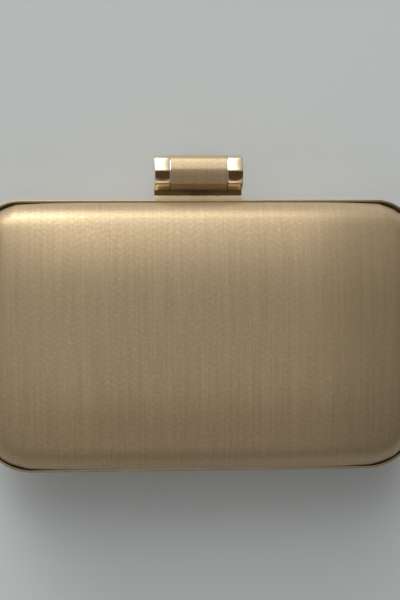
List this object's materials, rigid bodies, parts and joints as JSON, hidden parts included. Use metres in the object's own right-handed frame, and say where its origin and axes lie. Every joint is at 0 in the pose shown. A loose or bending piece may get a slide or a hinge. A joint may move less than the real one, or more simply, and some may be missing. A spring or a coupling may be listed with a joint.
{
  "type": "evening bag",
  "caption": "Hard box clutch in woven gold fabric, with a slim metal frame, an edge hinge and an octagonal bar clasp.",
  "frame": {"origin": "middle of the flat on the back's bulge, on which the closed bag lies", "axes": "+Z out of the front face, +Y towards the clasp, +X to the right seen from the front with the clasp on top"},
  "size_m": [0.172, 0.1236, 0.046],
  "materials": {
    "gold_fabric": "woven metallic gold thread, satin sheen",
    "shell_board": "moulded, bare inside",
    "lining_fabric": "champagne satin",
    "gold_metal": "plated pale gold, satin",
    "polished_gold": "plated pale gold, mirror polished",
    "steel": "drawn steel",
    "spring_steel": "spring temper, satin",
    "bar_metal": "machined, hidden under the fabric"
  },
  "bodies": {
    "back": {"back_fabric_cover": "gold_fabric", "back_shell": "shell_board", "back_lining": "lining_fabric", "back_frame": "gold_metal", "slip_pocket": "lining_fabric", "left_hinge_leaf_back": "gold_metal", "right_hinge_leaf_back": "gold_metal", "left_hinge_pin": "steel", "right_hinge_pin": "steel", "hinge_screws_back": "gold_metal", "clasp_plate": "gold_metal", "clasp_plate_rivets": "gold_metal", "latch_bracket": "gold_metal", "latch_bracket_rivets": "gold_metal", "latch_pivot_pin": "steel", "latch_spring": "spring_steel"},
    "front": {"front_fabric_cover": "gold_fabric", "front_shell": "shell_board", "front_lining": "lining_fabric", "front_frame": "gold_metal", "left_hinge_leaf_front": "gold_metal", "right_hinge_leaf_front": "gold_metal", "hinge_screws_front": "gold_metal", "catch_spring": "spring_steel", "catch_rivets": "gold_metal"},
    "clasp": {"clasp_core": "bar_metal", "clasp_barrel_sleeve": "gold_fabric", "clasp_end_cap_left": "polished_gold", "clasp_end_cap_right": "polished_gold", "clasp_lever": "gold_metal", "clasp_saddle": "gold_metal", "clasp_cross_pin": "steel"}
  },
  "joints": [
    {"name": "lid_hinge", "type": "hinge", "parent": "back", "child": "front", "pos_m": [0, -0.052, 0.023], "axis": [1, 0, 0], "range_deg": [0, 90], "deforming": ["catch_spring"]},
    {"name": "clasp_tilt", "type": "hinge", "parent": "back", "child": "clasp", "pos_m": [0, 0.046, 0.0195], "axis": [1, 0, 0], "range_deg": [0, 8], "stiffness_Nm_per_rad": 0.05, "springref_deg": -22.92, "deforming": ["latch_spring"]}
  ]
}
